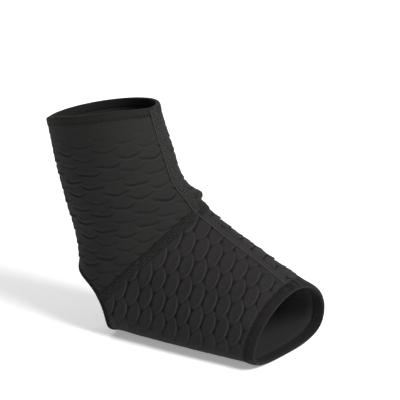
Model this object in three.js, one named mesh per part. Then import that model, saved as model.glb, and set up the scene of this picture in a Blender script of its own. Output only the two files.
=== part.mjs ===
// A soft ankle brace: a pull-on knitted sleeve with an open heel and an open toe, in the shape it
// has when it is worn on a right foot. Millimetres. +X runs to the toes, +Y to the inner side of
// the ankle and +Z up. Sizes are measured from the heel line, where the back of a bare heel is,
// and from the sole; the finished model has its origin on the ankle's own axis.

import * as THREE from "three";

// Driving dimensions of the leg part
const BRACE_HEIGHT = 172.5;
const RIM_DROP = 20.5;
const RIM_SIDE_LIFT = 5.5;
const LEG_DEPTH = 82.5;
const LEG_SETBACK = 37;
const LEG_WIDTH = 76;

// Driving dimensions of the ankle, where the two panels meet
const CREASE_HEIGHT = 100.5;
const CREASE_REACH = 86;
const HEEL_RISE = 1;
const ANKLE_WIDTH = 72;
const FOLD_HEIGHT = 4;

// Driving dimensions of the foot part
const FOOT_REACH = 159;
const TOE_HEIGHT = 51;
const TOE_LEAN = 4.5;
const TOE_SKEW = 13;
const BALL_WIDTH = 91;
const BALL_DROP = 1.5;

// Driving dimensions of the heel opening: how high it reaches at the back, how far forward it
// reaches under the heel, and how far forward its sides lie where the ankle seams end
const OPENING_TOP = 46;
const OPENING_REACH = 35;
const OPENING_SIDE_REACH = 23.5;

// Walls, hems and seams
const PANEL_WALL = 2.4;
const HEM_WALL = 3.2;
const TOP_HEM_WIDTH = 6.5;
const TOE_HEM_WIDTH = 8;
const BINDING_WIDTH = 3.2;
const BINDING_WALL = 3.4;
const SEAM_WIDTH = 6.5;
const SEAM_WALL = 0.8;
const FRONT_SEAM_DEGREES = 12.6;
const INSTEP_SEAM_DEGREES = 7;
const CLEARANCE = 0.3;

// The ankle's axis, where the wearer holds the brace
const AXIS_REACH = 38;
const AXIS_HEIGHT = 62;

// Fineness of the grids
const FRONT_COLUMNS = 38;
const OPENING_COLUMNS = 18;
const LEG_ROWS = 18;
const FOOT_ROWS = 18;
const SEAM_ROWS = 16;
const BINDING_COLUMNS = 40;

// How far the seams are turned to the outer side: down the leg, and where the instep seam ends
const FRONT_SEAM_TURN = FRONT_SEAM_DEGREES / 360;
const INSTEP_SEAM_TURN = INSTEP_SEAM_DEGREES / 360;

// The share of a turn at which the back lies
const BACK_SHARE = 0.5;

const NUDGE_SHARE = 0.001;
const HALVING_COUNT = 40;

// The section at the rim, across the ankle seams and at the toe edge: the front and back points
// of each in the plane of symmetry, and half its width.
const RIM = {
  frontX: LEG_DEPTH - LEG_SETBACK,
  frontZ: BRACE_HEIGHT,
  backX: -LEG_SETBACK,
  backZ: BRACE_HEIGHT - RIM_DROP,
  halfWidth: LEG_WIDTH / 2,
};
const ANKLE = {
  frontX: CREASE_REACH,
  frontZ: CREASE_HEIGHT,
  backX: 0,
  backZ: HEEL_RISE,
  halfWidth: ANKLE_WIDTH / 2,
};
const TOE_EDGE = {
  frontX: FOOT_REACH + TOE_LEAN,
  frontZ: TOE_HEIGHT,
  backX: FOOT_REACH,
  backZ: -BALL_DROP,
  halfWidth: BALL_WIDTH / 2,
};

// Sections from the rim to the toe edge. The columns in WAYS are shares of the way from the ankle
// section to the rim or to the toe edge. Equator is where the section is widest, as a share of
// the way from back to front. The powers round or square its front and back half. Ridge is how
// far the front leans to the inner side, as a share of the half width; skew and lift are shares
// of TOE_SKEW and RIM_SIDE_LIFT.
const WAYS = ["frontX", "frontZ", "backX", "backZ", "halfWidth"];
const SHAPES = ["equator", "frontPower", "backPower", "ridge", "skew", "lift"];
const LEG_SECTIONS = [
  [1.0, 1.0, 1.0, 1.0, 1.0, 0.5, 2.0, 2.0, 0.0, 0.0, 1.0],
  [0.72, 0.62, 0.8, 0.81, 0.5, 0.5, 2.0, 2.0, 0.0, 0.0, 0.45],
  [0.47, 0.28, 0.55, 0.62, 0.0, 0.5, 2.0, 2.0, 0.03, 0.0, 0.0],
  [0.21, 0.12, 0.22, 0.39, 0.0, 0.5, 2.0, 2.1, 0.06, 0.0, 0.0],
  [0.0, 0.0, 0.0, 0.0, 0.0, 0.46, 2.0, 2.3, 0.11, 0.0, 0.0],
];
const FOOT_SECTIONS = [
  [0.28, 0.32, 0.25, 0.9, 0.2, 0.4, 2.0, 2.9, 0.15, 0.15, 0.0],
  [0.64, 0.65, 0.6, 1.0, 0.68, 0.34, 1.9, 3.0, 0.13, 0.54, 0.0],
  [1.0, 1.0, 1.0, 1.0, 1.0, 0.34, 1.85, 3.0, 0.08, 1.0, 0.0],
];

// Soft folds and hollows: where each lies, how far it reaches and its share of FOLD_HEIGHT.
// Turn counts round the brace from the front, row down the sections above.
const FOLDS = [
  { turn: -0.055, row: 3.3, turnReach: 0.045, rowReach: 0.38, height: 1.0 },
  { turn: 0.5, row: 3.3, turnReach: 0.07, rowReach: 0.2, height: -0.45 },
  { turn: 0.27, row: 3.1, turnReach: 0.06, rowReach: 0.5, height: 0.3 },
  { turn: -0.24, row: 2.9, turnReach: 0.06, rowReach: 0.5, height: 0.35 },
];

const lerp = THREE.MathUtils.lerp;

function sectionFrom(row, end) {
  const section = {};
  WAYS.forEach((key, k) => {
    section[key] = lerp(ANKLE[key], end[key], row[k]);
  });
  SHAPES.forEach((key, k) => {
    section[key] = row[WAYS.length + k];
  });
  return section;
}

const SECTIONS = [
  ...LEG_SECTIONS.map((row) => sectionFrom(row, RIM)),
  ...FOOT_SECTIONS.map((row) => sectionFrom(row, TOE_EDGE)),
];
const LAST_ROW = SECTIONS.length - 1;
const ANKLE_ROW = LEG_SECTIONS.length - 1;

// A smooth curve through four values, between the second and the third
function smooth(before, from, to, after, t) {
  const slopeIn = (to - before) / 2;
  const slopeOut = (after - from) / 2;
  const rise = to - from;
  const bend = 3 * rise - 2 * slopeIn - slopeOut;
  const twist = slopeIn + slopeOut - 2 * rise;
  return from + t * (slopeIn + t * (bend + t * twist));
}

// The section at any row from 0 at the rim to LAST_ROW at the toe edge
function sectionAt(row) {
  const k = Math.min(Math.floor(row), LAST_ROW - 1);
  const from = SECTIONS[k];
  const to = SECTIONS[k + 1];
  const section = {};
  for (const key of [...WAYS, ...SHAPES]) {
    const before = k > 0 ? SECTIONS[k - 1][key] : 2 * from[key] - to[key];
    const after = k + 2 <= LAST_ROW ? SECTIONS[k + 2][key] : 2 * to[key] - from[key];
    section[key] = smooth(before, from[key], to[key], after, row - k);
  }
  return section;
}

// A point of the smooth form. Turn counts from the front line towards the outer side.
function formPoint(turn, row) {
  const s = sectionAt(row);
  const angle = 2 * Math.PI * turn;
  const cos = Math.cos(angle);
  const sin = Math.sin(angle);
  const power = cos > 0 ? s.frontPower : s.backPower;
  const length = (Math.abs(cos) ** power + Math.abs(sin) ** power) ** (1 / power);
  const forward = cos / length;
  const outward = sin / length;
  const reach = s.equator + forward * (cos > 0 ? 1 - s.equator : s.equator);
  const side = Math.max(outward, 0) ** 2;
  return new THREE.Vector3(
    lerp(s.backX, s.frontX, reach) - s.skew * TOE_SKEW * outward,
    s.halfWidth * ((s.ridge * (1 + forward)) / 2 - outward),
    lerp(s.backZ, s.frontZ, reach) + s.lift * RIM_SIDE_LIFT * side * (2 - side),
  );
}

// The slopes of a surface along turn and row, and its outward normal
function slopes(surface, turn, row) {
  const low = Math.max(row - NUDGE_SHARE, 0);
  const high = Math.min(row + NUDGE_SHARE, LAST_ROW);
  const round = surface(turn + NUDGE_SHARE, row).sub(surface(turn - NUDGE_SHARE, row));
  const down = surface(turn, high).sub(surface(turn, low));
  const normal = round.clone().cross(down).normalize();
  return {
    round: round.divideScalar(2 * NUDGE_SHARE),
    down: down.divideScalar(high - low),
    normal,
  };
}

function foldHeight(turn, row) {
  let height = 0;
  for (const fold of FOLDS) {
    const across = (turn - fold.turn - Math.round(turn - fold.turn)) / fold.turnReach;
    const along = (row - fold.row) / fold.rowReach;
    height += fold.height * FOLD_HEIGHT * Math.exp(-across * across - along * along);
  }
  return height;
}

// The outer surface of the brace, with its folds
function skinPoint(turn, row) {
  const point = formPoint(turn, row);
  return point.addScaledVector(slopes(formPoint, turn, row).normal, foldHeight(turn, row));
}

function offsetPoint({ turn, row }, offset) {
  return skinPoint(turn, row).addScaledVector(slopes(skinPoint, turn, row).normal, offset);
}

// The spot that lies a distance away over the surface, across a line that runs along heading.
// A positive distance goes to the left of the line, seen from outside.
function stepAcross({ turn, row }, heading, distance) {
  const { round, down, normal } = slopes(skinPoint, turn, row);
  const along = round.clone().multiplyScalar(heading.turn).addScaledVector(down, heading.row);
  const move = normal.clone().cross(along).setLength(distance);
  const area = round.lengthSq() * down.lengthSq() - round.dot(down) ** 2;
  const byRound = move.dot(round);
  const byDown = move.dot(down);
  return {
    turn: turn + (byRound * down.lengthSq() - byDown * round.dot(down)) / area,
    row: row + (byDown * round.lengthSq() - byRound * round.dot(down)) / area,
  };
}

// How much turn or row a distance takes up at a spot
function turnOf(distance, turn, row) {
  return distance / slopes(skinPoint, turn, row).round.length();
}

function rowOf(distance, turn, row) {
  return distance / slopes(skinPoint, turn, row).down.length();
}

// Where a quantity that falls from low to high passes a target
function fallsTo(target, low, high, quantity) {
  for (let k = 0; k < HALVING_COUNT; k += 1) {
    const middle = (low + high) / 2;
    if (quantity(middle) > target) low = middle;
    else high = middle;
  }
  return (low + high) / 2;
}

// The heel opening: an oval in turn and row round the place where the ankle seams would meet at
// the back, with its upper half cut from the leg panel and its lower half from the foot panel.
const sideReach = (turn) => formPoint(turn, ANKLE_ROW).x;
const backHeight = (row) => formPoint(BACK_SHARE, row).z;
const soleReach = (row) => formPoint(BACK_SHARE, row).x;
const OPENING = {
  halfTurn: BACK_SHARE - fallsTo(OPENING_SIDE_REACH, BACK_SHARE / 2, BACK_SHARE, sideReach),
  up: ANKLE_ROW - fallsTo(OPENING_TOP, 1, ANKLE_ROW, backHeight),
  down: fallsTo(-OPENING_REACH, ANKLE_ROW, LAST_ROW, (row) => -soleReach(row)) - ANKLE_ROW,
};

function openingShare(turn) {
  const across = (turn - Math.floor(turn) - BACK_SHARE) / OPENING.halfTurn;
  return Math.sqrt(Math.max(0, 1 - across * across));
}

// The turns of a panel's columns: even ones round the front, then ones that follow the oval
const FRONT_START = BACK_SHARE + OPENING.halfTurn;
const PANEL_TURNS = [
  ...Array.from({ length: FRONT_COLUMNS }, (_, k) => {
    return FRONT_START + ((1 - 2 * OPENING.halfTurn) * k) / FRONT_COLUMNS;
  }),
  ...Array.from({ length: OPENING_COLUMNS }, (_, k) => {
    return 1 + BACK_SHARE - OPENING.halfTurn * Math.cos((Math.PI * k) / OPENING_COLUMNS);
  }),
];

// Rows of spots between two edges, with as many spots in each
function spotsBetween(startEdge, endEdge, rows) {
  return Array.from({ length: rows + 1 }, (_, k) => {
    return startEdge.map((start, j) => ({
      turn: lerp(start.turn, endEdge[j].turn, k / rows),
      row: lerp(start.row, endEdge[j].row, k / rows),
    }));
  });
}

// Rows of spots at given distances across a line of spots
function spotsAcross(line, distances) {
  return distances.map((distance) => {
    return line.map(({ heading, ...spot }) => stepAcross(spot, heading, distance));
  });
}

// A closed wall over a grid of spots, between two offsets from the brace's outer surface
function wallGeometry(spots, inner, outer, isRing) {
  const rows = spots.length;
  const columns = spots[0].length;
  const points = [outer, inner].flatMap((offset) => {
    return spots.flat().map((spot) => offsetPoint(spot, offset));
  });
  const at = (sheet, i, j) => (sheet * rows + i) * columns + (j % columns);
  const index = [];
  const quad = (a, b, c, d) => index.push(a, b, c, a, c, d);
  const lastColumn = isRing ? columns : columns - 1;
  for (let j = 0; j < lastColumn; j += 1) {
    for (let i = 0; i < rows - 1; i += 1) {
      quad(at(0, i, j), at(0, i, j + 1), at(0, i + 1, j + 1), at(0, i + 1, j));
      quad(at(1, i, j), at(1, i + 1, j), at(1, i + 1, j + 1), at(1, i, j + 1));
    }
    const end = rows - 1;
    quad(at(1, 0, j), at(1, 0, j + 1), at(0, 0, j + 1), at(0, 0, j));
    quad(at(0, end, j), at(0, end, j + 1), at(1, end, j + 1), at(1, end, j));
  }
  if (!isRing) {
    const end = columns - 1;
    for (let i = 0; i < rows - 1; i += 1) {
      quad(at(0, i, 0), at(0, i + 1, 0), at(1, i + 1, 0), at(1, i, 0));
      quad(at(1, i, end), at(1, i + 1, end), at(0, i + 1, end), at(0, i, end));
    }
  }
  const geometry = new THREE.BufferGeometry().setFromPoints(points);
  geometry.setIndex(index);
  geometry.computeVertexNormals();
  return geometry;
}

const KNIT = { color: 0x2f2e30, roughness: 0.95, metalness: 0 };
const STITCHING = { color: 0x262527, roughness: 1, metalness: 0 };
const EDGING = { color: 0x1d1b1b, roughness: 0.9, metalness: 0 };

function piece(name, finish, geometry) {
  const mesh = new THREE.Mesh(geometry, new THREE.MeshStandardMaterial(finish));
  mesh.name = name;
  return mesh;
}

const hemSwell = (HEM_WALL - PANEL_WALL) / 2;
const bindingSwell = (BINDING_WALL - PANEL_WALL) / 2;
const rimLine = PANEL_TURNS.map((turn) => ({ turn, row: 0, heading: { turn: 1, row: 0 } }));
const toeLine = PANEL_TURNS.map((turn) => ({ turn, row: LAST_ROW, heading: { turn: -1, row: 0 } }));

function hem(name, line, width) {
  const spots = spotsAcross(line, [0, width]);
  if (line === toeLine) spots.reverse();
  return piece(name, KNIT, wallGeometry(spots, -PANEL_WALL - hemSwell, hemSwell, true));
}

function legPanel() {
  const [top] = spotsAcross(rimLine, [TOP_HEM_WIDTH + CLEARANCE]);
  const bottom = PANEL_TURNS.map((turn) => ({
    turn,
    row:
      ANKLE_ROW -
      OPENING.up * openingShare(turn) -
      rowOf(CLEARANCE / 2, turn, ANKLE_ROW),
  }));
  const spots = spotsBetween(top, bottom, LEG_ROWS);
  return piece("shaft_panel", KNIT, wallGeometry(spots, -PANEL_WALL, 0, true));
}

function footPanel() {
  const [bottom] = spotsAcross(toeLine, [TOE_HEM_WIDTH + CLEARANCE]);
  const top = PANEL_TURNS.map((turn) => ({
    turn,
    row:
      ANKLE_ROW +
      OPENING.down * openingShare(turn) +
      rowOf(CLEARANCE / 2, turn, ANKLE_ROW),
  }));
  const spots = spotsBetween(top, bottom, FOOT_ROWS);
  return piece("foot_panel", KNIT, wallGeometry(spots, -PANEL_WALL, 0, true));
}

function heelBinding() {
  const loop = Array.from({ length: BINDING_COLUMNS }, (_, k) => {
    const angle = (2 * Math.PI * k) / BINDING_COLUMNS;
    const reach = Math.sin(angle) > 0 ? OPENING.up : OPENING.down;
    return {
      turn: BACK_SHARE - OPENING.halfTurn * Math.cos(angle),
      row: ANKLE_ROW - reach * Math.sin(angle),
      heading: { turn: OPENING.halfTurn * Math.sin(angle), row: -reach * Math.cos(angle) },
    };
  });
  const spots = spotsAcross(loop, [CLEARANCE, CLEARANCE + BINDING_WIDTH]);
  const inner = -PANEL_WALL - bindingSwell;
  return piece("heel_binding", EDGING, wallGeometry(spots, inner, bindingSwell, true));
}

// A flat seam over the joint between two edges, along a line from one spot to another
function seam(name, from, to) {
  const heading = { turn: to.turn - from.turn, row: to.row - from.row };
  const line = Array.from({ length: SEAM_ROWS + 1 }, (_, k) => ({
    turn: lerp(from.turn, to.turn, k / SEAM_ROWS),
    row: lerp(from.row, to.row, k / SEAM_ROWS),
    heading,
  }));
  const spots = spotsAcross(line, [-SEAM_WIDTH / 2, 0, SEAM_WIDTH / 2]);
  return piece(name, STITCHING, wallGeometry(spots, CLEARANCE, CLEARANCE + SEAM_WALL, false));
}

function seams() {
  const [rimEnd] = spotsAcross(
    [{ turn: FRONT_SEAM_TURN, row: 0, heading: { turn: 1, row: 0 } }],
    [TOP_HEM_WIDTH + CLEARANCE],
  );
  const [toeEnd] = spotsAcross(
    [{ turn: INSTEP_SEAM_TURN, row: LAST_ROW, heading: { turn: -1, row: 0 } }],
    [TOE_HEM_WIDTH + CLEARANCE],
  );
  // The lines don't cross at right angles, so the ankle seams keep twice the clearance
  const half = rowOf(CLEARANCE / 2, FRONT_SEAM_TURN, ANKLE_ROW);
  const side = turnOf(SEAM_WIDTH / 2 + 2 * CLEARANCE, FRONT_SEAM_TURN, ANKLE_ROW);
  const openingSide = BACK_SHARE - OPENING.halfTurn;
  const heel = openingSide - turnOf(CLEARANCE, openingSide, ANKLE_ROW);
  const crossing = (turn, row) => ({ turn, row: ANKLE_ROW + row });
  return [
    seam("front_seam", rimEnd[0], crossing(FRONT_SEAM_TURN, -half)),
    seam("instep_seam", crossing(FRONT_SEAM_TURN, half), toeEnd[0]),
    seam("ankle_seam_lateral", crossing(FRONT_SEAM_TURN + side, 0), crossing(heel, 0)),
    seam("ankle_seam_medial", crossing(FRONT_SEAM_TURN - side, 0), crossing(-heel, 0)),
  ];
}

const brace = new THREE.Group();
brace.add(
  hem("top_hem", rimLine, TOP_HEM_WIDTH),
  legPanel(),
  footPanel(),
  hem("toe_hem", toeLine, TOE_HEM_WIDTH),
  heelBinding(),
  ...seams(),
);
brace.position.set(-AXIS_REACH, 0, -AXIS_HEIGHT);

export default brace;
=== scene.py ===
"""The looks of a soft knitted ankle brace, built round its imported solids.

Sizes are in millimetres, from the heel line and the sole, as in the part's source, until a mesh is
made. Turn counts round the brace from the front towards the outer side; row counts down it.
"""

import math

import bpy
import numpy as np
from mathutils import Matrix, Vector


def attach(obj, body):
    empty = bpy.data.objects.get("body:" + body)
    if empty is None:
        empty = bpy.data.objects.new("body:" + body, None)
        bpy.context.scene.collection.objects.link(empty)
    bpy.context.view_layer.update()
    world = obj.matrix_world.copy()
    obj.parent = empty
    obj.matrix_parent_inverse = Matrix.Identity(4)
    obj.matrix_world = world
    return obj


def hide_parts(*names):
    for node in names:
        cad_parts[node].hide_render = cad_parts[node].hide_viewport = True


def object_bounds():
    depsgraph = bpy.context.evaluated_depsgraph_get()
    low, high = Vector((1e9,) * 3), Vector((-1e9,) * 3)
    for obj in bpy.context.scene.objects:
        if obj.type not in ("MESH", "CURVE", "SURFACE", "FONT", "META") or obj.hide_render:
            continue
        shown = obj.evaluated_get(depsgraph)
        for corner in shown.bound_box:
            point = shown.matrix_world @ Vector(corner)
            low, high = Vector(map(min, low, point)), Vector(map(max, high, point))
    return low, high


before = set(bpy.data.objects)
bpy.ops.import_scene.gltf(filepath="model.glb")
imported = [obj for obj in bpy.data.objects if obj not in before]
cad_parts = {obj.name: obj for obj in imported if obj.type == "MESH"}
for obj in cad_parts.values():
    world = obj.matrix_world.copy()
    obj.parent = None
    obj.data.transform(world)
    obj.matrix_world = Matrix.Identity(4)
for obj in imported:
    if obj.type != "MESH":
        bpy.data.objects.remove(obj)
cad_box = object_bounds()

MM = 0.001

# The form: the same named sizes and sections as in the part's source
BRACE_HEIGHT = 172.5
RIM_DROP = 20.5
RIM_SIDE_LIFT = 5.5
LEG_DEPTH = 82.5
LEG_SETBACK = 37
LEG_WIDTH = 76
CREASE_HEIGHT = 100.5
CREASE_REACH = 86
HEEL_RISE = 1
ANKLE_WIDTH = 72
FOLD_HEIGHT = 4
FOOT_REACH = 159
TOE_HEIGHT = 51
TOE_LEAN = 4.5
TOE_SKEW = 13
BALL_WIDTH = 91
BALL_DROP = 1.5
OPENING_TOP = 46
OPENING_REACH = 35
OPENING_SIDE_REACH = 23.5
PANEL_WALL = 2.4
TOP_HEM_WIDTH = 6.5
TOE_HEM_WIDTH = 8
BINDING_WIDTH = 3.2
SEAM_WIDTH = 6.5
FRONT_SEAM_TURN = 12.6 / 360
INSTEP_SEAM_TURN = 7 / 360
ORIGIN = np.array([38.0, 0.0, 62.0])

RIM = [LEG_DEPTH - LEG_SETBACK, BRACE_HEIGHT, -LEG_SETBACK, BRACE_HEIGHT - RIM_DROP, LEG_WIDTH / 2]
ANKLE = [CREASE_REACH, CREASE_HEIGHT, 0, HEEL_RISE, ANKLE_WIDTH / 2]
TOE_EDGE = [FOOT_REACH + TOE_LEAN, TOE_HEIGHT, FOOT_REACH, -BALL_DROP, BALL_WIDTH / 2]
WAYS = len(RIM)
LEG_SECTIONS = [
    [1.0, 1.0, 1.0, 1.0, 1.0, 0.5, 2.0, 2.0, 0.0, 0.0, 1.0],
    [0.72, 0.62, 0.8, 0.81, 0.5, 0.5, 2.0, 2.0, 0.0, 0.0, 0.45],
    [0.47, 0.28, 0.55, 0.62, 0.0, 0.5, 2.0, 2.0, 0.03, 0.0, 0.0],
    [0.21, 0.12, 0.22, 0.39, 0.0, 0.5, 2.0, 2.1, 0.06, 0.0, 0.0],
    [0.0, 0.0, 0.0, 0.0, 0.0, 0.46, 2.0, 2.3, 0.11, 0.0, 0.0],
]
FOOT_SECTIONS = [
    [0.28, 0.32, 0.25, 0.9, 0.2, 0.4, 2.0, 2.9, 0.15, 0.15, 0.0],
    [0.64, 0.65, 0.6, 1.0, 0.68, 0.34, 1.9, 3.0, 0.13, 0.54, 0.0],
    [1.0, 1.0, 1.0, 1.0, 1.0, 0.34, 1.85, 3.0, 0.08, 1.0, 0.0],
]
FOLDS = [  # turn, row, turn reach, row reach, share of FOLD_HEIGHT
    [-0.055, 3.3, 0.045, 0.38, 1.0],
    [0.5, 3.3, 0.07, 0.2, -0.45],
    [0.27, 3.1, 0.06, 0.5, 0.3],
    [-0.24, 2.9, 0.06, 0.5, 0.35],
]
ANKLE_ROW = len(LEG_SECTIONS) - 1
LAST_ROW = ANKLE_ROW + len(FOOT_SECTIONS)
NUDGE = 0.001
BACK = 0.5


def lerp(a, b, t):
    return a + (b - a) * t


def smoothstep(t):
    t = np.clip(t, 0, 1)
    return t * t * (3 - 2 * t)


def section_table():
    rows = []
    for end, table in ((RIM, LEG_SECTIONS), (TOE_EDGE, FOOT_SECTIONS)):
        for row in table:
            rows.append([lerp(a, b, t) for a, b, t in zip(ANKLE, end, row)] + row[WAYS:])
    rows = np.array(rows)
    return np.vstack([2 * rows[0] - rows[1], rows, 2 * rows[-1] - rows[-2]])


SECTIONS = section_table()


def form(turn, row):
    """Points of the smooth form."""
    turn, row = np.broadcast_arrays(np.asarray(turn, float), np.asarray(row, float))
    k = np.clip(np.floor(row).astype(int), 0, LAST_ROW - 1)
    t = (row - k)[..., None]
    before, start, end, after = (SECTIONS[k + i] for i in range(4))
    slope_in, slope_out, rise = (end - before) / 2, (after - start) / 2, end - start
    bend = 3 * rise - 2 * slope_in - slope_out
    twist = slope_in + slope_out - 2 * rise
    values = start + t * (slope_in + t * (bend + t * twist))
    (front_x, front_z, back_x, back_z, half, equator,
     front_power, back_power, ridge, skew, lift) = np.moveaxis(values, -1, 0)
    cos, sin = np.cos(2 * np.pi * turn), np.sin(2 * np.pi * turn)
    power = np.where(cos > 0, front_power, back_power)
    length = (np.abs(cos) ** power + np.abs(sin) ** power) ** (1 / power)
    forward, outward = cos / length, sin / length
    reach = equator + forward * np.where(cos > 0, 1 - equator, equator)
    side = np.maximum(outward, 0) ** 2
    return np.stack([
        lerp(back_x, front_x, reach) - skew * TOE_SKEW * outward,
        half * (ridge * (1 + forward) / 2 - outward),
        lerp(back_z, front_z, reach) + lift * RIM_SIDE_LIFT * side * (2 - side),
    ], -1)


def unit(v):
    return v / np.maximum(np.linalg.norm(v, axis=-1, keepdims=True), 1e-12)


def slopes(surface, turn, row):
    """Slopes of a surface along turn and row, and its outward normal."""
    high, low = np.minimum(row + NUDGE, LAST_ROW), np.maximum(row - NUDGE, 0)
    around = (surface(turn + NUDGE, row) - surface(turn - NUDGE, row)) / (2 * NUDGE)
    down = (surface(turn, high) - surface(turn, low)) / (high - low)[..., None]
    return around, down, unit(np.cross(around, down))


def fold_height(turn, row):
    height = np.zeros(np.broadcast(turn, row).shape)
    for at_turn, at_row, turn_reach, row_reach, share in FOLDS:
        across = (turn - at_turn - np.round(turn - at_turn)) / turn_reach
        along = (row - at_row) / row_reach
        height += share * FOLD_HEIGHT * np.exp(-across**2 - along**2)
    return height


def skin(turn, row):
    """Points of the brace's outer surface, with its folds."""
    turn, row = np.broadcast_arrays(np.asarray(turn, float), np.asarray(row, float))
    normal = slopes(form, turn, row)[2]
    return form(turn, row) + normal * fold_height(turn, row)[..., None]


def at_offset(turn, row, offset):
    turn, row = np.broadcast_arrays(np.asarray(turn, float), np.asarray(row, float))
    normal = slopes(skin, turn, row)[2]
    return skin(turn, row) + normal * np.broadcast_to(offset, turn.shape)[..., None]


def step_across(turn, row, turn_heading, row_heading, distance):
    """Spots a distance away, to the left of a line's heading seen from outside."""
    turn, row = np.broadcast_arrays(np.asarray(turn, float), np.asarray(row, float))
    around, down, normal = slopes(skin, turn, row)
    along = around * np.broadcast_to(turn_heading, turn.shape)[..., None]
    along = along + down * np.broadcast_to(row_heading, turn.shape)[..., None]
    move = unit(np.cross(normal, along)) * np.broadcast_to(distance, turn.shape)[..., None]
    aa, dd, ad = (around**2).sum(-1), (down**2).sum(-1), (around * down).sum(-1)
    by_around, by_down = (move * around).sum(-1), (move * down).sum(-1)
    area = aa * dd - ad**2
    return turn + (by_around * dd - by_down * ad) / area, row + (by_down * aa - by_around * ad) / area


def falls_to(target, low, high, quantity):
    """Where a quantity that falls from low to high passes a target."""
    for _ in range(40):
        middle = (low + high) / 2
        if quantity(middle) > target:
            low = middle
        else:
            high = middle
    return (low + high) / 2


OPENING_HALF = BACK - falls_to(OPENING_SIDE_REACH, BACK / 2, BACK, lambda t: form(t, ANKLE_ROW)[0])
OPENING_UP = ANKLE_ROW - falls_to(OPENING_TOP, 1, ANKLE_ROW, lambda r: form(BACK, r)[2])
OPENING_DOWN = falls_to(-OPENING_REACH, ANKLE_ROW, LAST_ROW, lambda r: -form(BACK, r)[0]) - ANKLE_ROW


def opening_share(turn):
    across = (turn - np.floor(turn) - BACK) / OPENING_HALF
    return np.sqrt(np.maximum(0, 1 - across**2))


# Meshes --------------------------------------------------------------------------------------


def quads(rows, columns, ring_rows=False, ring_columns=False):
    """The faces of a grid of points, as quads; a ring joins its last row or column to its first."""
    i, j = np.meshgrid(
        np.arange(rows if ring_rows else rows - 1),
        np.arange(columns if ring_columns else columns - 1),
        indexing="ij",
    )
    i2, j2 = (i + 1) % rows, (j + 1) % columns
    corners = [i * columns + j, i * columns + j2, i2 * columns + j2, i2 * columns + j]
    return np.stack(corners, -1).reshape(-1, 4)


class Heap:
    """Points and faces that make one mesh."""

    def __init__(self):
        self.points, self.faces, self.marks = [], [], []
        self.count = 0

    def add(self, points, faces, marks):
        """marks are each point's place along and across the cloth, and its tone from 0 to 1, which
        carries the painted shade and painted highlights of the emboss.
        """
        points = np.asarray(points, float).reshape(-1, 3)
        self.points.append(points)
        self.marks.append(np.asarray(marks, float).reshape(-1, 3))
        self.faces += [(np.asarray(f) + self.count) for f in faces]
        self.count += len(points)


def volume(points, faces):
    total = 0
    for f in faces:
        for k in range(1, f.shape[1] - 1):
            a, b, c = points[f[:, 0]], points[f[:, k]], points[f[:, k + 1]]
            total += (a * np.cross(b, c)).sum()
    return total


def mesh_of(name, heap, material):
    points = (np.vstack(heap.points) - ORIGIN) * MM
    marks = np.vstack(heap.marks)
    faces = heap.faces
    if volume(points, faces) < 0:
        faces = [f[:, ::-1] for f in faces]
    mesh = bpy.data.meshes.new(name)
    mesh.from_pydata(points.tolist(), [], [face for f in faces for face in f.tolist()])
    mesh.polygons.foreach_set("use_smooth", [True] * len(mesh.polygons))
    corners = np.zeros(len(mesh.loops), int)
    mesh.loops.foreach_get("vertex_index", corners)
    layer = mesh.uv_layers.new(name="cloth")
    layer.data.foreach_set("uv", (marks[corners, :2] * MM).ravel())
    tone_and_painted_shade = mesh.attributes.new("tone_and_painted_shade", "FLOAT", "POINT")
    tone_and_painted_shade.data.foreach_set("value", marks[:, 2])
    mesh.materials.append(material)
    mesh.update()
    thing = bpy.data.objects.new(name, mesh)
    bpy.context.scene.collection.objects.link(thing)
    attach(thing, "root")
    return thing


def add_tube(heap, path, reference, radius, sides=6, tone_and_painted_shade=1.0):
    """A round thread along a path; reference is a direction at each point that isn't along it."""
    path = np.asarray(path, float)
    tangent = unit(np.gradient(path, axis=0))
    side = unit(np.cross(tangent, reference))
    lift = np.cross(side, tangent)
    angle = 2 * np.pi * np.arange(sides) / sides
    radius = np.broadcast_to(radius, len(path))[:, None, None]
    ring = side[:, None] * np.cos(angle)[None, :, None] + lift[:, None] * np.sin(angle)[None, :, None]
    points = path[:, None] + ring * radius
    length = np.cumsum(np.r_[0, np.linalg.norm(np.diff(path, axis=0), axis=1)])
    marks = np.zeros(points.shape)
    marks[..., 0] = length[:, None]
    marks[..., 1] = angle[None] * radius[:, :, 0]
    marks[..., 2] = tone_and_painted_shade
    faces = [quads(len(path), sides, ring_columns=True)]
    points, marks = points.reshape(-1, 3), marks.reshape(-1, 3)
    first, last = len(points), len(points) + 1
    points = np.vstack([points, path[0], path[-1]])
    marks = np.vstack([marks, marks[0], marks[-1]])
    k = np.arange(sides)
    k2 = (k + 1) % sides
    base = (len(path) - 1) * sides
    faces.append(np.stack([np.full(sides, first), k2, k], -1))
    faces.append(np.stack([np.full(sides, last), base + k, base + k2], -1))
    heap.add(points, faces, marks)


# Lines over the surface ------------------------------------------------------------------------


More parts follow.
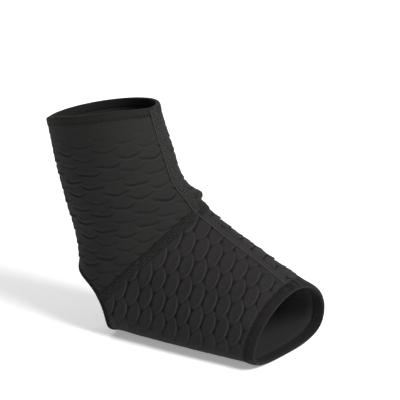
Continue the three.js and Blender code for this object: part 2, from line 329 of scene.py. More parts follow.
class Line:
    """A line over the brace, with its places counted by length in millimetres."""

    def __init__(self, turn, row, closed=False):
        turn, row = np.asarray(turn, float), np.asarray(row, float)
        points = skin(turn, row)
        steps = np.linalg.norm(np.diff(points, axis=0), axis=1)
        self.s = np.r_[0, np.cumsum(steps)]
        self.turn, self.row, self.closed = turn, row, closed
        self.length = self.s[-1]
        self.turn_heading = np.gradient(turn, self.s)
        self.row_heading = np.gradient(row, self.s)
        if closed:
            for heading, value in ((self.turn_heading, turn), (self.row_heading, row)):
                change = value[1] - value[0] + value[-1] - value[-2]
                heading[0] = heading[-1] = change / (self.s[1] + self.length - self.s[-2])

    def spot(self, s, across):
        s, across = np.broadcast_arrays(np.asarray(s, float), np.asarray(across, float))
        t = np.mod(s, self.length) if self.closed else np.clip(s, 0, self.length)
        turn, row, turn_heading, row_heading = (
            np.interp(t, self.s, v) for v in (self.turn, self.row, self.turn_heading, self.row_heading)
        )
        return step_across(turn, row, turn_heading, row_heading, across)

    def at(self, s, across, offset):
        turn, row = self.spot(s, across)
        return at_offset(turn, row, offset)

    def normal(self, s, across):
        """The outward normal at spots."""
        return slopes(skin, *self.spot(s, across))[2]


def sweep(name, line, profile, steps, material, shape, tone_and_painted_shade=None):
    """A closed piece with a profile of (across, offset) pairs, drawn along a line.

    shape(s, k, across, offset) moves the profile's points along the line, and tone_and_painted_shade,
    with the same arguments, gives their tone, with any painted shade."""
    profile = np.asarray(profile, float)
    count = int(steps)
    s = np.linspace(0, line.length, count, endpoint=not line.closed)
    S, K = np.meshgrid(s, np.arange(len(profile)))
    across, offset = profile[K, 0], profile[K, 1]
    across, offset = shape(S, K, across, offset)
    points = line.at(S, across, offset)
    length = np.r_[0, np.cumsum(np.linalg.norm(np.diff(profile, axis=0), axis=1))]
    value = np.full(S.shape, 0.8) if tone_and_painted_shade is None else tone_and_painted_shade(S, K, across, offset)
    marks = np.stack([S, length[K], value], -1)
    faces = [quads(len(profile), count, ring_rows=True, ring_columns=line.closed)]
    heap = Heap()
    if line.closed:
        heap.add(points, faces, marks)
    else:
        flat, flat_marks = points.reshape(-1, 3), marks.reshape(-1, 3)
        k = np.arange(len(profile))
        k2 = (k + 1) % len(profile)
        first_centre, last_centre = np.full(len(k), len(flat)), np.full(len(k), len(flat) + 1)
        faces.append(np.stack([first_centre, k * count, k2 * count], -1))
        faces.append(np.stack([last_centre, (k2 + 1) * count - 1, (k + 1) * count - 1], -1))
        centres = points.mean(0)[[0, -1]]
        flat = np.vstack([flat, centres])
        flat_marks = np.vstack([flat_marks, marks.mean(0)[[0, -1]]])
        heap.add(flat, faces, flat_marks)
    return mesh_of(name, heap, material)


# Materials -------------------------------------------------------------------------------------


def nodes_of(name):
    material = bpy.data.materials.new(name)
    material.use_nodes = True
    tree = material.node_tree
    shader = tree.nodes["Principled BSDF"]
    shader.inputs["Metallic"].default_value = 0.0
    return material, tree, shader


def math_node(tree, operation, a, b=None, clamp=False):
    node = tree.nodes.new("ShaderNodeMath")
    node.operation = operation
    node.use_clamp = clamp
    for socket, value in zip(node.inputs, (a, b)):
        if value is None:
            continue
        if isinstance(value, (int, float)):
            socket.default_value = value
        else:
            tree.links.new(value, socket)
    return node.outputs[0]


def noise(tree, vector, scale, detail=3.0):
    node = tree.nodes.new("ShaderNodeTexNoise")
    node.inputs["Scale"].default_value = scale
    node.inputs["Detail"].default_value = detail
    node.inputs["Roughness"].default_value = 0.6
    tree.links.new(vector, node.inputs["Vector"])
    return node.outputs["Fac"]


def ramp(tree, factor, stops):
    node = tree.nodes.new("ShaderNodeValToRGB")
    elements = node.color_ramp.elements
    while len(elements) < len(stops):
        elements.new(0.5)
    for element, (place, colour) in zip(elements, stops):
        element.position = place
        element.color = (*colour, 1)
    tree.links.new(factor, node.inputs["Fac"])
    return node.outputs["Color"]


def linear(*srgb):
    """A colour given as it looks on a screen, from 0 to 255, as the shader needs it."""
    out = []
    for v in srgb:
        v = v / 255
        out.append(v / 12.92 if v <= 0.04045 else ((v + 0.055) / 1.055) ** 2.4)
    return tuple(out)


# The widths of a column and a row of stitches
WALE = 0.85
COURSE = 0.65
SHEEN = 0.03


def cloth_places(tree):
    """The places along and across the cloth, and the point in the object's own space."""
    uv = tree.nodes.new("ShaderNodeUVMap")
    uv.uv_map = "cloth"
    split = tree.nodes.new("ShaderNodeSeparateXYZ")
    tree.links.new(uv.outputs["UV"], split.inputs[0])
    where = tree.nodes.new("ShaderNodeTexCoord").outputs["Object"]
    return split.outputs["X"], split.outputs["Y"], where


def add_bump(tree, shader, height, strength, distance):
    bumper = tree.nodes.new("ShaderNodeBump")
    bumper.inputs["Strength"].default_value = strength
    bumper.inputs["Distance"].default_value = distance * MM
    tree.links.new(height, bumper.inputs["Height"])
    tree.links.new(bumper.outputs["Normal"], shader.inputs["Normal"])


def knit(name, dark, light, bump=0.35):
    """Fine knit: V-shaped stitches along the cloth's own directions, with soft colour changes, and the
    painted shade and painted highlights that each point's tone attribute carries.
    """
    material, tree, shader = nodes_of(name)
    along, across, where = cloth_places(tree)

    # A wale is a column of V stitches: the rows rise away from the middle of the wale
    u = math_node(tree, "MULTIPLY", along, 1 / (WALE * MM))
    v = math_node(tree, "MULTIPLY", across, 1 / (COURSE * MM))
    side = math_node(tree, "PINGPONG", u, 0.5)
    lean = math_node(tree, "ADD", v, math_node(tree, "MULTIPLY", side, 1.3))
    loop = math_node(tree, "PINGPONG", lean, 0.5)
    rib = math_node(tree, "SINE", math_node(tree, "MULTIPLY", side, 2 * math.pi))
    stitch = math_node(tree, "MULTIPLY", loop, 2.0)
    weave = math_node(tree, "MULTIPLY", rib, math_node(tree, "ADD", stitch, 0.4))
    fuzz = noise(tree, where, 2600, 2.0)
    height = math_node(tree, "ADD", weave, math_node(tree, "MULTIPLY", fuzz, 0.8))

    attribute = tree.nodes.new("ShaderNodeAttribute")
    attribute.attribute_name = "tone_and_painted_shade"
    patches = noise(tree, where, 38, 3.0)
    grain = noise(tree, where, 900, 3.0)
    # Painted shade and painted highlights: the attribute darkens the emboss's grooves and lightens its
    # lit lips
    tone = math_node(tree, "MULTIPLY", attribute.outputs["Fac"], 0.5)
    tone = math_node(tree, "ADD", tone, math_node(tree, "MULTIPLY", patches, 0.3))
    tone = math_node(tree, "ADD", tone, -0.21)
    tone = math_node(tree, "ADD", tone, math_node(tree, "MULTIPLY", grain, 0.6))
    tone = math_node(tree, "ADD", tone, math_node(tree, "MULTIPLY", weave, 0.08), clamp=True)
    tree.links.new(ramp(tree, tone, [(0.1, dark), (0.95, light)]), shader.inputs["Base Color"])

    add_bump(tree, shader, height, bump, 0.25)
    roughness = math_node(tree, "ADD", math_node(tree, "MULTIPLY", grain, 0.12), 0.84)
    tree.links.new(roughness, shader.inputs["Roughness"])
    shader.inputs["Sheen Weight"].default_value = SHEEN
    shader.inputs["Sheen Roughness"].default_value = 0.45
    shader.inputs["Specular IOR Level"].default_value = 0.12
    return material


def thread(name, dark, light):
    """Twisted thread: fine ridges that wind round it."""
    material, tree, shader = nodes_of(name)
    along, across, where = cloth_places(tree)
    turn = math_node(tree, "ADD", along, math_node(tree, "MULTIPLY", across, 0.7))
    ply = math_node(tree, "SINE", math_node(tree, "MULTIPLY", turn, 2 * math.pi / (0.35 * MM)))
    lint = noise(tree, where, 1500, 2.0)
    height = math_node(tree, "ADD", ply, lint)
    tone = math_node(tree, "ADD", math_node(tree, "MULTIPLY", ply, 0.2), lint, clamp=True)
    tree.links.new(ramp(tree, tone, [(0.25, dark), (0.8, light)]), shader.inputs["Base Color"])
    add_bump(tree, shader, height, 0.4, 0.08)
    roughness = math_node(tree, "ADD", math_node(tree, "MULTIPLY", lint, 0.2), 0.5)
    tree.links.new(roughness, shader.inputs["Roughness"])
    shader.inputs["Sheen Weight"].default_value = SHEEN
    shader.inputs["Specular IOR Level"].default_value = 0.3
    return material


leg_knit = knit("charcoal_knit_leg", linear(23, 23, 23), linear(45, 45, 44))
foot_knit = knit("charcoal_knit_foot", linear(19, 18, 19), linear(50, 48, 48))
hem_knit = knit("hem_knit", linear(19, 19, 18), linear(38, 38, 36))
toe_knit = knit("toe_hem_knit", linear(14, 13, 14), linear(35, 33, 34))
edge_knit = knit("overlocked_edge", linear(12, 10, 9), linear(29, 25, 23), bump=0.3)
band_knit = knit("seam_tape", linear(11, 11, 11), linear(28, 28, 27), bump=0.4)
front_knit = knit("front_seam_tape", linear(15, 15, 15), linear(37, 36, 35), bump=0.4)
seam_thread = thread("seam_thread", linear(15, 14, 14), linear(52, 50, 48))
front_thread = thread("front_seam_thread", linear(20, 20, 19), linear(63, 61, 58))
dark_thread = thread("dark_thread", linear(12, 11, 11), linear(31, 29, 29))
# The ridges' thread is lighter than the cloth: a painted highlight along the seams' raised edges
ridge_thread_painted_highlight = thread("ridge_thread_painted_highlight", linear(38, 37, 36), linear(62, 60, 58))


# The embossed panels -----------------------------------------------------------------------------

# The emboss: pointed pillows in rows, each row half a step along from the next
CELL_HALF_WIDTH = 5.3
CELL_HALF_LENGTH = 12.2
# How far the middle of a stretched pillow's lower edge hangs below its tips
ARC_SAG = 3.5
# The height and the tone of cloth without emboss
PLAIN_HEIGHT = 0.62
PLAIN_TONE = 0.55
PANEL_ROWS = 200
OPENING_COLUMNS = 138
FRONT_COLUMNS = 284
# How much further the front seam reaches on its inner side, as a share of its half width
SEAM_REACH = 0.95
# A row of pillows runs along the axis, with one each step, and the rows lie a pitch apart round the
# brace. start and side place the first one. The rows draw together by narrowing for each millimetre
# along. tips is how soon two neighbours part where they touch, and lip_side says on which side of a
# pillow its lip lies: the side the key light falls on, which gets a painted highlight, with painted
# shade in the groove beside it.
SHAFT = {
    "axis": unit(np.array([0.241, 0.0, -0.97])),
    "step": 10.65,
    "pitch": 16.6,
    "start": -95.1,
    "side": -73.8,
    "narrowing": 0.0,
    "height": 1.0,
    "tips": 0.62,
    "lip_side": -1,
}
FOOT = {
    "axis": unit(np.array([0.977, 0.0, -0.21])),
    "step": 10.4,
    "pitch": 17.2,
    "start": 65.2,
    "side": -118.0,
    "narrowing": 0.0015,
    "height": 1.4,
    "tips": 0.4,
    "lip_side": 1,
}
# The table of lengths round the brace, which reaches a little past one turn
TABLE_ROWS = 16 * LAST_ROW
TABLE_TURNS = 600
TABLE_SPAN = 1.1


def round_table(axis):
    """Length round the brace from the back, without what runs along an axis, by turn and row."""
    turn = np.linspace(0, TABLE_SPAN, TABLE_TURNS + 1)
    row = np.linspace(0, LAST_ROW, TABLE_ROWS + 1)
    points = skin(turn[None], row[:, None])
    steps = np.diff(points, axis=1)
    steps = steps - (steps @ axis)[..., None] * axis
    length = np.concatenate([np.zeros((len(row), 1)), np.cumsum(np.linalg.norm(steps, axis=-1), 1)], 1)
    back = np.array([np.interp(BACK, turn, line) for line in length])
    return length - back[:, None]


def seam_turn(row):
    """The turn of the front seam, and below the ankle of the instep seam."""
    share = np.clip((row - ANKLE_ROW) / (LAST_ROW - ANKLE_ROW), 0, 1)
    return lerp(FRONT_SEAM_TURN, INSTEP_SEAM_TURN, share)


def length_round(table, turn, row):
    """Length round the brace from the back, read from its table. It breaks at the front seam."""
    turn = np.mod(turn, 1)
    turn = np.where(turn < seam_turn(row), turn + 1, turn)
    x = np.clip(turn / TABLE_SPAN * TABLE_TURNS, 0, TABLE_TURNS - 1e-6)
    y = np.clip(row / LAST_ROW * TABLE_ROWS, 0, TABLE_ROWS - 1e-6)
    i, j = y.astype(int), x.astype(int)
    fy, fx = y - i, x - j
    upper = lerp(table[i, j], table[i, j + 1], fx)
    lower = lerp(table[i + 1, j], table[i + 1, j + 1], fx)
    return lerp(upper, lower, fy)


def spread(along, round_, cells):
    """The rows of pillows draw together where the tube narrows."""
    return round_ * (1 + cells["narrowing"] * (along - cells["start"]))


def cell_mark(along, round_, cells):
    """How far inside its pillow each place lies, 0 on the edge, and on which side of its middle."""
    fields, leans = [], []
    t = (along - cells["start"]) / cells["step"]
    s = (spread(along, round_, cells) - cells["side"]) / cells["pitch"]
    row = np.floor(s)
    for extra in (0, 1):
        number = row + extra
        ds = np.abs(s - number) * cells["pitch"] / CELL_HALF_LENGTH
        shift = 0.5 * np.mod(number, 2)
        dt = (t - shift - np.round(t - shift)) * cells["step"] / CELL_HALF_WIDTH
        fields.append(1 - np.abs(dt) ** 1.6 - ds**2)
        leans.append(dt)
    best, other = np.maximum(*fields), np.minimum(*fields)
    lean = np.where(fields[0] > fields[1], *leans)
    return np.minimum(best / 0.3, cells["tips"] + (best - other) / 0.4), lean


def pillows(along, round_, cells):
    """Height and tone of the pillows: steep sides, lower on one side than the other like a scale,
    and a lip on the lit side. The tone is painted: lighter on the raised tops, a painted highlight
    along the lip, and painted shade in the groove beside it."""
    inside, lean = cell_mark(along, round_, cells)
    rise = smoothstep(inside / 1.1)
    side = np.clip(cells["lip_side"] * lean * 1.3, 0, 1)
    lip = side * np.exp(-(((inside - 1.0) / 0.38) ** 2))
    groove = np.exp(-(((inside - 0.05) / 0.4) ** 2))
    groove = np.clip(cells["lip_side"] * lean * 2 + 0.4, 0, 1) * groove
    height = rise * (0.84 + 0.3 * lean) + 0.16 * lip - 0.1 * smoothstep((inside - 1.5) / 1.6)
    # Painted tone: lighter on the raised tops, a painted highlight on the lit lip, painted shade in
    # the groove beside it
    tone = 0.5 * rise + 0.08 + 0.9 * lip - 0.6 * groove
    return height, tone


def scale_arcs(along, round_, cells):
    """Height and tone of the stretched emboss: only the lower edges of the pillows stay, as arcs, each
    with painted shade in its groove and a painted highlight line just below it.
    """
    pad, pad_tone = pillows(along, round_, cells)
    height = PLAIN_HEIGHT + 0.16 * (pad - PLAIN_HEIGHT)
    tone = PLAIN_TONE + 0.1 * (pad_tone - PLAIN_TONE)
    t = (along - cells["start"]) / cells["step"]
    s = (round_ - cells["side"]) / cells["pitch"]
    for extra in (0, 1):
        number = np.floor(s) + extra
        ds = (s - number) * cells["pitch"] / CELL_HALF_LENGTH
        low = (t - 0.5 * np.mod(number, 2)) * cells["step"] - CELL_HALF_WIDTH + ARC_SAG * ds**2
        line = np.round(low / cells["step"])
        below = low - line * cells["step"]
        # No two arcs lie quite alike
        below = below + 0.5 * np.sin(1.7 * number + 2.9 * line)
        below = below + 0.4 * np.sin(0.4 * s * cells["pitch"] + 2 * line)
        strength = smoothstep((1 - np.abs(ds)) / 0.5)
        strength = strength * (0.85 + 0.25 * np.sin(2.3 * number + 4.1 * line))
        groove = np.exp(-((below / np.where(below < 0, 1.2, 0.6)) ** 2))
        lip = np.exp(-(((below + 2.4) / 1.4) ** 2))
        light = np.exp(-(((below - 1.25) / 0.55) ** 2))
        height = height + strength * (0.35 * lip - 0.85 * groove)
        # Painted shade in the arc's groove and a painted highlight line just below it
        tone = tone + strength * (0.1 * lip + 0.7 * light - 0.6 * groove)
    return height, tone


def ripple(points):
    """Slow, shallow waves of worn cloth."""
    x, y, z = np.moveaxis(points, -1, 0)
    waves = np.sin(x / 7.3 + y / 11.0 + 1.3) * np.sin(z / 8.1 - y / 13.0 + 0.4)
    waves = waves + 0.6 * np.sin(x / 4.1 - z / 5.7 + 2.1) * np.sin(y / 5.3 + z / 9.1)
    return 0.12 * waves


def panel(name, cells, relief_of, weight_of, far, edge_row, material):
    """A closed shell from its far edge to the ankle seams and the heel opening."""
    front_start = BACK + OPENING_HALF
    front = front_start + (1 - 2 * OPENING_HALF) * np.arange(FRONT_COLUMNS) / FRONT_COLUMNS
    k = np.arange(OPENING_COLUMNS) / OPENING_COLUMNS
    edge_turn = np.r_[front, 1 + BACK - OPENING_HALF * np.cos(np.pi * k)]
    even_turn = np.r_[front, 1 + BACK + OPENING_HALF * (2 * k - 1)]
    far_turn, far_row = far(even_turn)

    def spots(count):
        t = np.linspace(0, 1, count + 1)[:, None]
        turn = lerp(far_turn[None], edge_turn[None], smoothstep(t))
        return turn, lerp(far_row[None], edge_row(edge_turn)[None], t)

    turn, row = spots(PANEL_ROWS)
    flat = skin(turn, row)
    along = flat @ cells["axis"]
    table = round_table(cells["axis"])
    around = length_round(table, turn, row)
    height, tone = relief_of(along, around, cells)
    span = np.linalg.norm(flat[-1] - flat[0], axis=-1)
    reach = np.linspace(0, 1, PANEL_ROWS + 1)[:, None] * span
    ends = smoothstep(np.minimum(reach, span - reach) / 3.0)
    from_seam = turn - seam_turn(row)
    around_slope, _, normal = slopes(skin, turn, row)
    from_seam = (from_seam - np.round(from_seam)) * np.linalg.norm(around_slope, axis=-1)
    widening = SEAM_REACH * (from_seam < 0) * smoothstep((ANKLE_ROW - row) / 0.6)
    beside = smoothstep((np.abs(from_seam) - SEAM_WIDTH / 2 * (1 + widening) + 0.8) / 1.6)
    weight = weight_of(flat) * ends * beside
    offset = cells["height"] * (height - PLAIN_HEIGHT) * weight + ripple(flat) * ends
    outer = flat + normal * offset[..., None]
    # The tone carries the emboss's painted shade and painted highlights, faded out with it
    tone_and_painted_shade = lerp(PLAIN_TONE, tone, np.clip(weight, 0, 1))
    inner_turn, inner_row = spots(PANEL_ROWS // 8)
    inner = at_offset(inner_turn, inner_row, -PANEL_WALL)
    inner_marks = np.stack([
        length_round(table, inner_turn, inner_row),
        inner @ cells["axis"],
        np.full(inner_turn.shape, PLAIN_TONE),
    ], -1)
    columns = turn.shape[1]
    first = outer.size // 3
    j = np.arange(columns)
    j2 = (j + 1) % columns
    last, inner_last = PANEL_ROWS * columns, first + (inner_turn.shape[0] - 1) * columns
    faces = [
        quads(PANEL_ROWS + 1, columns, ring_columns=True),
        first + quads(inner_turn.shape[0], columns, ring_columns=True)[:, ::-1],
        np.stack([first + j, first + j2, j2, j], -1),
        np.stack([last + j, last + j2, inner_last + j2, inner_last + j], -1),
    ]
    heap = Heap()
    points = np.vstack([outer.reshape(-1, 3), inner.reshape(-1, 3)])
    marks = np.stack([around, along, tone_and_painted_shade], -1).reshape(-1, 3)
    heap.add(points, faces, np.vstack([marks, inner_marks.reshape(-1, 3)]))
    return mesh_of(name, heap, material)


def rim_far(turn):
    return step_across(turn, np.zeros(turn.shape), 1.0, 0.0, TOP_HEM_WIDTH - 0.2)


def toe_far(turn):
    return step_across(turn, np.full(turn.shape, float(LAST_ROW)), -1.0, 0.0, TOE_HEM_WIDTH - 0.2)


def shaft_edge(turn):
    return ANKLE_ROW - OPENING_UP * opening_share(turn)


def foot_edge(turn):
    return ANKLE_ROW + OPENING_DOWN * opening_share(turn)


def shaft_weight(points):
    """The emboss fades out below the top hem."""
    front = form(0.0, 0.0)
    below = (points - front) @ SHAFT["axis"]
    return lerp(0.3, 1.0, smoothstep((below - 8) / 24)) * smoothstep((below - 4) / 6)


def foot_weight(points):
    """The emboss fades out towards the sole."""
    return lerp(0.15, 1.0, smoothstep((points[..., 2] - 4) / 20))


shaft = panel("shaft_knit", SHAFT, scale_arcs, shaft_weight, rim_far, shaft_edge, leg_knit)
foot = panel("foot_knit", FOOT, pillows, foot_weight, toe_far, foot_edge, foot_knit)


# Hems --------------------------------------------------------------------------------------------

ring_turn = np.linspace(0, 1, 361)
rim_line = Line(ring_turn, np.zeros(361), closed=True)
toe_line = Line(-ring_turn, np.full(361, float(LAST_ROW)), closed=True)
HEM_SWELL = 0.5
# How many points of a hem's profile lie on its outer side and lower edge
HEM_FACE_POINTS = 13


def hem_profile(width):
    """The folded band seen from its end: outer side, lower edge, inner side, and the rolled fold."""
    outer, inner = HEM_SWELL, -PANEL_WALL - HEM_SWELL
    middle, radius = (outer + inner) / 2, (outer - inner) / 2
    side = [(d, outer) for d in np.linspace(radius, width - 0.7, 9)]
    lower = [(width - 0.3, outer - 0.12), (width, outer - 0.4), (width, middle), (width, inner + 0.3)]
    inside = [(d, inner) for d in np.linspace(width - 0.5, radius, 7)]
    turn = np.linspace(0, np.pi, 9)[1:-1]
    fold = [(radius - radius * math.sin(a), middle - radius * math.cos(a)) for a in turn]
    return side + lower + inside + fold


def hem(name, line, width, stitch_at, gather, seam_at, material):
    """A folded hem, drawn in by its stitches and gathered most beside the seam that it crosses."""
    profile = hem_profile(width)

    def shape(s, k, across, offset):
        on_face = smoothstep(across / 2) * smoothstep((width + 1.2 - across) / 2)
        on_face = (k < HEM_FACE_POINTS) * on_face
        dip = np.exp(-(((across - stitch_at) / 0.55) ** 2))
        pull = 0.5 + 0.5 * np.cos(2 * np.pi * s / stitch_step(line))
        wave = np.sin(s / 2.3 + 1.7 * np.sin(s / 9.1)) * np.sin(s / 5.7 + across / 3)
        from_seam = (s / line.length - seam_at + 0.5) % 1 - 0.5
        bunch = 1 + 3 * np.exp(-((from_seam / 0.07) ** 2))
        return across, offset + on_face * (gather * bunch * wave - dip * (0.25 + 0.3 * pull))

    def tone_and_painted_shade(s, k, across, offset):
        # Painted shade along the stitched dip, stronger in patches
        near = np.exp(-(((across - stitch_at) / 0.8) ** 2)) * (k < HEM_FACE_POINTS)
        patch = 0.5 + 0.5 * np.sin(s / 1.9 + 2.3 * np.sin(s / 6.1)) * np.sin(s / 4.3)
        from_seam = (s / line.length - seam_at + 0.5) % 1 - 0.5
        worn = 0.15 + 0.45 * np.exp(-((from_seam / 0.09) ** 2))
        fleck = 0.5 + 0.5 * np.sin(s / 1.3 + 1.9 * across) * np.sin(s / 2.9 - 1.1 * across)
        return 0.75 - worn * fleck - near * (0.35 + 0.5 * patch)

    return sweep(name, line, profile, line.length / 0.55, material, shape, tone_and_painted_shade)


def stitch_step(line):
    return line.length / round(line.length / 2.8)


def hem_stitches(name, line, stitch_at, material):
    heap = Heap()
    step = stitch_step(line)
    t = np.linspace(-0.5, 0.5, 9)
    for k in range(round(line.length / step)):
        s = step * (k + 0.5 + 0.62 * t)
        across = stitch_at + 0.12 * math.sin(2.4 * k) + 0 * t
        offset = 0.32 - 0.5 * (2 * t) ** 4
        normal = line.normal(s, across)
        add_tube(heap, line.at(s, across, offset), normal, 0.19)
    return mesh_of(name, heap, material)


TOP_STITCH_AT = TOP_HEM_WIDTH - 1.1
TOE_STITCH_AT = TOE_HEM_WIDTH - 1.3
top_hem = hem(
    "top_hem_band", rim_line, TOP_HEM_WIDTH, TOP_STITCH_AT, 0.1, FRONT_SEAM_TURN, hem_knit,
)
top_stitches = hem_stitches("top_hem_stitches", rim_line, TOP_STITCH_AT, dark_thread)
toe_hem = hem(
    "toe_hem_band", toe_line, TOE_HEM_WIDTH, TOE_STITCH_AT, 0.2, -INSTEP_SEAM_TURN, toe_knit,
)
toe_stitches = hem_stitches("toe_hem_stitches", toe_line, TOE_STITCH_AT, dark_thread)


# The heel edge -----------------------------------------------------------------------------------

loop_angle = np.linspace(0, 2 * np.pi, 481)
loop_reach = np.where(np.sin(loop_angle) > 0, OPENING_UP, OPENING_DOWN)
heel_line = Line(
    BACK - OPENING_HALF * np.cos(loop_angle),
    ANKLE_ROW - loop_reach * np.sin(loop_angle),
    closed=True,
)


def heel_edge():
    """The overlocked edge: a soft roll with threads that wind round it."""
    outer, inner = 0.3, -PANEL_WALL - 0.3
    low, high = -1.4, BINDING_WIDTH + 0.1
    radius = (outer - inner) / 2
    centre, middle = (low + high) / 2, (outer + inner) / 2
    count = 24
    profile = []
    for a in 2 * np.pi * np.arange(count) / count:
        bulge_across = abs(math.cos(a)) ** 0.8 * math.copysign(1, math.cos(a))
        bulge_offset = abs(math.sin(a)) ** 0.7 * math.copysign(1, math.sin(a))
        across = centre + (high - low) / 2 * bulge_across
        profile.append((across, middle + radius * bulge_offset))
    winds = round(heel_line.length / 1.25)

    def wind(s, k):
        return np.sin(2 * np.pi * (s / heel_line.length * winds + 1.5 * k / count))

    def shape(s, k, across, offset):
        across = centre + (across - centre) * (1 + 0.055 * wind(s, k))
        return across, middle + (offset - middle) * (1 + 0.1 * wind(s, k))

    def tone_and_painted_shade(s, k, across, offset):
        return 0.5 + 0.4 * wind(s, k)

    steps = heel_line.length / 0.2
    return sweep("heel_edge", heel_line, profile, steps, edge_knit, shape, tone_and_painted_shade)


heel = heel_edge()


# Seams -------------------------------------------------------------------------------------------


def line_between(start, end, count=120):
    t = np.linspace(0, 1, count)
    return Line(lerp(start[0], end[0], t), lerp(start[1], end[1], t))


# How far below the rim the front seam starts
RIM_GAP = 0.7
rim_end = step_across(FRONT_SEAM_TURN, 0.0, 1.0, 0.0, RIM_GAP)
toe_end = step_across(INSTEP_SEAM_TURN, float(LAST_ROW), -1.0, 0.0, TOE_HEM_WIDTH - 0.2)
crossing = (FRONT_SEAM_TURN, float(ANKLE_ROW))
heel_side = BACK - OPENING_HALF
front_line = line_between(rim_end, crossing)
instep_line = line_between(crossing, toe_end)
lateral_line = line_between(crossing, (heel_side, float(ANKLE_ROW)))
medial_line = line_between(crossing, (-heel_side, float(ANKLE_ROW)))


def over_hem(line, s):
    """How far the front seam is raised where it runs over the top hem."""
    if line is not front_line:
        return np.zeros(np.shape(s))
    return HEM_SWELL * (1 - smoothstep((s + RIM_GAP - TOP_HEM_WIDTH + 0.6) / 1.6))


def widened(line, s, across):
    """The front seam reaches further on its inner side, except by the crossing."""
    if line is not front_line:
        return across
    reach = 1 - smoothstep((s - line.length + 9) / 7)
    return np.where(across > 0, across * (1 + SEAM_REACH * reach), across)


def band(name, line, width, top, material):
    """A seam's flat band: crowned, with thin edges that sink into the cloth."""
    half, crown_points = width / 2, 13
    crown = np.linspace(-0.96, 0.96, crown_points)
    upper = [(half * x, top * (1 - 0.35 * abs(x) ** 4)) for x in crown]
    lower = [(half, top * 0.3), (half, -0.9), (0, -0.9), (-half, -0.9), (-half, top * 0.3)]

    def shape(s, k, across, offset):
        lump = 0.07 * np.sin(s * 2.1 + 3 * across) + 0.05 * np.sin(s * 0.9)
        offset = offset + (k < crown_points) * lump + over_hem(line, s)
        return widened(line, s, across), offset

    steps = line.length / 0.5
    return sweep(name, line, upper + lower, steps, material, shape)


THREAD_RADIUS = 0.2


def zigzag(heap, line, width, top, step, phase, start=0.6, end=0.4):
    """Crossing threads over a seam's band."""
    count = int((line.length - start - end) / step * 12)
    s = np.linspace(start, line.length - end, count)
    drift = 0.12 * np.sin(s * 0.83 + 5 * phase) + 0.09 * np.sin(s * 2.9 + 2 * phase)
    swing = 2 / np.pi * np.arcsin(np.sin(2 * np.pi * (s / step + phase + drift)) * 0.96)
    swing = swing * (1 + 0.12 * np.sin(s * 1.31 + 4 * phase))
    across = swing * width / 2
    offset = top * (1 - 0.35 * np.abs(2 * across / (width + 1)) ** 4) + over_hem(line, s)
    offset = offset + 0.14 + 0.1 * np.cos(4 * np.pi * s / step)
    across = widened(line, s, across)
    normal = line.normal(s, across)
    add_tube(heap, line.at(s, across, offset), normal, THREAD_RADIUS, sides=5, tone_and_painted_shade=0.9)


def dashes(heap, line, across, top, step, start=0.5, end=0.5):
    """A row of straight stitches."""
    t = np.linspace(-0.5, 0.5, 7)
    for k in range(int((line.length - start - end) / step)):
        s = start + step * (k + 0.5 + 0.4 * 2 * t)
        offset = top + 0.12 - 0.4 * (2 * t) ** 4 + over_hem(line, s)
        place = widened(line, s, across)
        normal = line.normal(s, place)
        add_tube(heap, line.at(s, place, offset), normal, THREAD_RADIUS, sides=5)


def ridge(name, line, across, height, radius, material):
    """The fine raised line along a seam's outer edge."""
    s = np.linspace(0.3, line.length - 0.3, int(line.length / 0.4))
    wander = across + 0.06 * np.sin(s * 1.7) + 0.04 * np.sin(s * 4.3)
    swell = radius * (1 + 0.1 * np.sin(2 * np.pi * s / 1.5))
    normal = line.normal(s, wander)
    heap = Heap()
    add_tube(heap, line.at(s, wander, height + over_hem(line, s)), normal, swell, sides=8)
    return mesh_of(name, heap, material)


SEAM_TOP = 0.6
ANKLE_BAND_WIDTH = SEAM_WIDTH + 0.9
ZIGZAG_PHASES = (0.0, 0.37, 0.71)


def seam_threads(name, line, width, step, material):
    heap = Heap()
    for phase in ZIGZAG_PHASES:
        zigzag(heap, line, width - 1.5, SEAM_TOP, step, phase)
    dashes(heap, line, width / 2 - 0.9, SEAM_TOP * 0.8, 1.9)
    dashes(heap, line, -width / 2 + 0.9, SEAM_TOP * 0.8, 1.9)
    return mesh_of(name, heap, material)


front_band = band("front_seam_band", front_line, SEAM_WIDTH, SEAM_TOP, front_knit)
instep_band = band("instep_seam_band", instep_line, SEAM_WIDTH - 1, 0.3, foot_knit)
lateral_band = band("ankle_seam_band_lateral", lateral_line, ANKLE_BAND_WIDTH, SEAM_TOP, band_knit)
medial_band = band("ankle_seam_band_medial", medial_line, ANKLE_BAND_WIDTH, SEAM_TOP, band_knit)
front_threads = seam_threads("front_seam_threads", front_line, SEAM_WIDTH, 3.9, front_thread)
lateral_threads = seam_threads(
    "ankle_seam_threads_lateral", lateral_line, ANKLE_BAND_WIDTH, 4.3, seam_thread,
)
medial_threads = seam_threads(
    "ankle_seam_threads_medial", medial_line, ANKLE_BAND_WIDTH, 4.3, seam_thread,
)
front_ridge = ridge(
    "front_seam_ridge", front_line, -SEAM_WIDTH / 2 + 0.2, 0.65, 0.4, ridge_thread_painted_highlight,
)
instep_ridge = ridge(
    "instep_seam_ridge", instep_line, -SEAM_WIDTH / 2 + 0.6, 0.45, 0.42, ridge_thread_painted_highlight,
)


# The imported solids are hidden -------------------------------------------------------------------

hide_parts("shaft_panel")
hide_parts("foot_panel")
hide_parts("top_hem")
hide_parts("toe_hem")
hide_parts("heel_binding")
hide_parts("front_seam")
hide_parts("instep_seam")
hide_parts("ankle_seam_lateral")
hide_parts("ankle_seam_medial")


# Floor, light and camera -------------------------------------------------------------------------

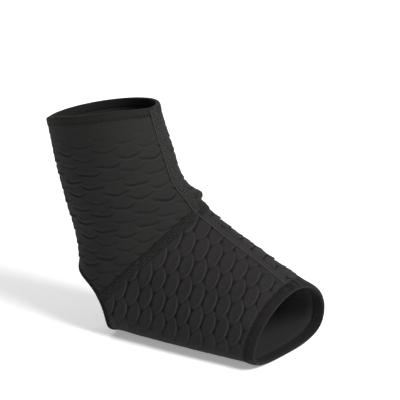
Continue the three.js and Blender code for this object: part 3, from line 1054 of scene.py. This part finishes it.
FLOOR_HALF = 4.0
bottom = cad_box[0][2]
corners = [(-1, -1), (1, -1), (1, 1), (-1, 1)]
mesh = bpy.data.meshes.new("floor")
mesh.from_pydata([(x * FLOOR_HALF, y * FLOOR_HALF, bottom) for x, y in corners], [], [(0, 1, 2, 3)])
floor = bpy.data.objects.new("floor", mesh)
bpy.context.scene.collection.objects.link(floor)
pale, _, shader = nodes_of("pale_floor")
shader.inputs["Base Color"].default_value = (0.94, 0.94, 0.94, 1)
shader.inputs["Roughness"].default_value = 0.9
shader.inputs["Specular IOR Level"].default_value = 0.1
shader.inputs["Emission Color"].default_value = (1, 1, 1, 1)
shader.inputs["Emission Strength"].default_value = 0.3
mesh.materials.append(pale)

world = bpy.data.worlds.new("studio")
world.use_nodes = True
world.node_tree.nodes["Background"].inputs["Color"].default_value = (1, 1, 1, 1)
world.node_tree.nodes["Background"].inputs["Strength"].default_value = 0.16
bpy.context.scene.world = world
bpy.context.scene.view_settings.view_transform = "Standard"


LIT_POINT = Vector((0.03, 0, 0.03))


def area_light(name, place, size, energy):
    light = bpy.data.lights.new(name, "AREA")
    light.shape = "DISK"
    light.size = size
    light.energy = energy
    thing = bpy.data.objects.new(name, light)
    thing.location = place
    thing.rotation_euler = (LIT_POINT - Vector(place)).to_track_quat("-Z", "Y").to_euler()
    bpy.context.scene.collection.objects.link(thing)


area_light("key", (1.2, -0.35, 1.15), 0.8, 34)
area_light("fill", (-0.6, -1.4, 0.9), 1.2, 0.8)
area_light("back", (-0.7, 1.3, 1.0), 1.0, 18)

AZIMUTH, ELEVATION, ROLL = (math.radians(v) for v in (18, 19, 4))
DISTANCE = 1.4
# The point that lies in the middle of the photograph, from the heel line and the sole
CENTRE = np.array([84.165, 0, 106.419])
TARGET = Vector((CENTRE - ORIGIN) * MM)
PIXELS_PER_MM = 1.368
FRAME_SIZE = 400
back = Vector((
    math.sin(AZIMUTH) * math.cos(ELEVATION),
    -math.cos(AZIMUTH) * math.cos(ELEVATION),
    math.sin(ELEVATION),
))
level = Vector((math.cos(AZIMUTH), math.sin(AZIMUTH), 0))
upright = back.cross(level)
right = level * math.cos(ROLL) + upright * math.sin(ROLL)
up = upright * math.cos(ROLL) - level * math.sin(ROLL)
camera_data = bpy.data.cameras.new("camera")
camera_data.sensor_width = 36
camera_data.lens = PIXELS_PER_MM / MM * DISTANCE / FRAME_SIZE * camera_data.sensor_width
camera = bpy.data.objects.new("camera", camera_data)
turned = Matrix((right, up, back)).transposed().to_4x4()
camera.matrix_world = Matrix.Translation(TARGET + back * DISTANCE) @ turned
bpy.context.scene.collection.objects.link(camera)
bpy.context.scene.camera = camera
